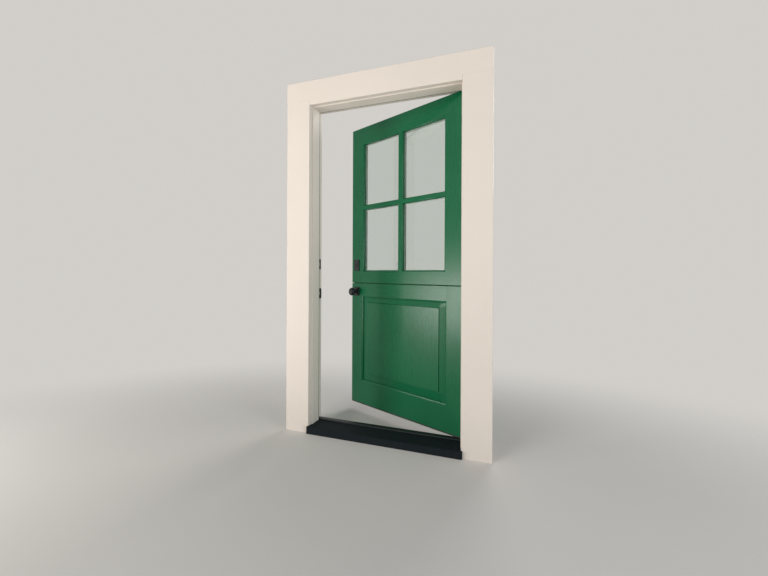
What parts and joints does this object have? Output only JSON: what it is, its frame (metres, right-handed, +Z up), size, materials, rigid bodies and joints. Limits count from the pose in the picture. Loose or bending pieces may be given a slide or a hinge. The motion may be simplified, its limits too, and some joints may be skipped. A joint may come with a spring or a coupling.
{
  "type": "dutch stable door",
  "caption": "Half-glazed stable door split across into two leaves that swing inwards, with raised panel, bored locks, butt hinges, rabbeted frame, flat casing and sill",
  "frame": {"origin": "middle of the doorway on the underside of the sill, in the plane of the shut leaves' outdoor face", "axes": "+Z up, -Y outdoors, +X towards the hinge jamb; the leaves swing indoors, towards +Y"},
  "size_m": [1.338, 0.6469, 2.3177],
  "materials": {
    "door_paint": "emerald green satin paint on timber",
    "frame_paint": "warm off-white eggshell paint on timber",
    "sill_paint": "near-black paint on a hardwood sill",
    "sill_cap": "dark bronze anodised",
    "seal_rubber": "black foam-filled seal",
    "glass": "clear sealed glass",
    "black_metal": "matte black powder coat",
    "bolt_steel": "brushed",
    "hinge_metal": "matte black",
    "screw_steel": "blackened"
  },
  "bodies": {
    "frame": {"threshold": "sill_paint", "threshold_cap": "sill_cap", "hinge_jamb": "frame_paint", "strike_jamb": "frame_paint", "head_jamb": "frame_paint", "casing_hinge_side": "frame_paint", "casing_strike_side": "frame_paint", "casing_head": "frame_paint", "seal_hinge_side": "seal_rubber", "seal_strike_side": "seal_rubber", "seal_head": "seal_rubber", "latch_strike": "black_metal", "deadbolt_strike": "black_metal", "jamb_screws": "screw_steel", "hinge_1_jamb_plate": "hinge_metal", "hinge_2_jamb_plate": "hinge_metal", "hinge_3_jamb_plate": "hinge_metal", "hinge_4_jamb_plate": "hinge_metal", "hinge_pins": "hinge_metal"},
    "upper_leaf": {"upper_hinge_stile": "door_paint", "upper_lock_stile": "door_paint", "upper_top_rail": "door_paint", "upper_meeting_rail": "door_paint", "upper_upright_muntin": "door_paint", "upper_cross_muntin": "door_paint", "glass_top_left": "glass", "glass_top_right": "glass", "glass_bottom_left": "glass", "glass_bottom_right": "glass", "glazing_beads": "door_paint", "meeting_seal": "seal_rubber", "hinge_3_leaf_plate": "hinge_metal", "hinge_4_leaf_plate": "hinge_metal", "upper_leaf_screws": "screw_steel", "deadbolt_outer_plate": "black_metal", "key_plug": "bolt_steel", "deadbolt_inner_plate": "black_metal", "deadbolt_faceplate": "black_metal", "coupling_keeper": "black_metal"},
    "lower_leaf": {"lower_hinge_stile": "door_paint", "lower_lock_stile": "door_paint", "lower_top_rail": "door_paint", "lower_bottom_rail": "door_paint", "raised_panel": "door_paint", "bottom_sweep": "seal_rubber", "hinge_1_leaf_plate": "hinge_metal", "hinge_2_leaf_plate": "hinge_metal", "lower_leaf_screws": "screw_steel", "rose_outer": "black_metal", "rose_inner": "black_metal", "latch_faceplate": "black_metal", "coupling_guide": "black_metal"},
    "knobs": {"knob_outer": "black_metal", "knob_inner": "black_metal", "spindle": "bolt_steel"},
    "latch": {"latch_bolt": "bolt_steel"},
    "turn": {"thumbturn": "black_metal"},
    "deadbolt": {"deadbolt": "bolt_steel"},
    "coupling": {"coupling_bolt": "black_metal"}
  },
  "joints": [
    {"name": "upper_leaf_hinge", "type": "hinge", "parent": "frame", "child": "upper_leaf", "pos_m": [0.501, 0.052, 1.57], "axis": [0, 0, -1], "range_deg": [-24.02, 70.98]},
    {"name": "lower_leaf_hinge", "type": "hinge", "parent": "frame", "child": "lower_leaf", "pos_m": [0.501, 0.052, 0.52], "axis": [0, 0, -1], "range_deg": [-24.02, 70.98]},
    {"name": "knob_turn", "type": "hinge", "parent": "lower_leaf", "child": "knobs", "pos_m": [-0.37463, 0.40993, 0.9104], "axis": [0.4071, 0.9134, 0], "range_deg": [0, 50], "stiffness_Nm_per_rad": 0.15, "springref_deg": -11.46},
    {"name": "latch_slide", "type": "slide", "parent": "lower_leaf", "child": "latch", "axis": [-0.9134, 0.4071, 0], "range_m": [-0.0115, 0]},
    {"name": "deadbolt_slide", "type": "slide", "parent": "upper_leaf", "child": "deadbolt", "axis": [0.9134, -0.4071, 0], "range_m": [-0.025, 0]},
    {"name": "thumb_turn", "type": "hinge", "parent": "upper_leaf", "child": "turn", "pos_m": [-0.37463, 0.40993, 1.1124], "axis": [0.4071, 0.9134, 0], "range_deg": [-90, 0]},
    {"name": "coupling_slide", "type": "slide", "parent": "lower_leaf", "child": "coupling", "axis": [0, 0, 1], "range_m": [0, 0.026]}
  ],
  "couplings": [
    {"joint": "latch_slide", "follows": "knob_turn", "m_per_rad": -0.013178},
    {"joint": "thumb_turn", "follows": "deadbolt_slide", "rad_per_m": 62.832}
  ]
}
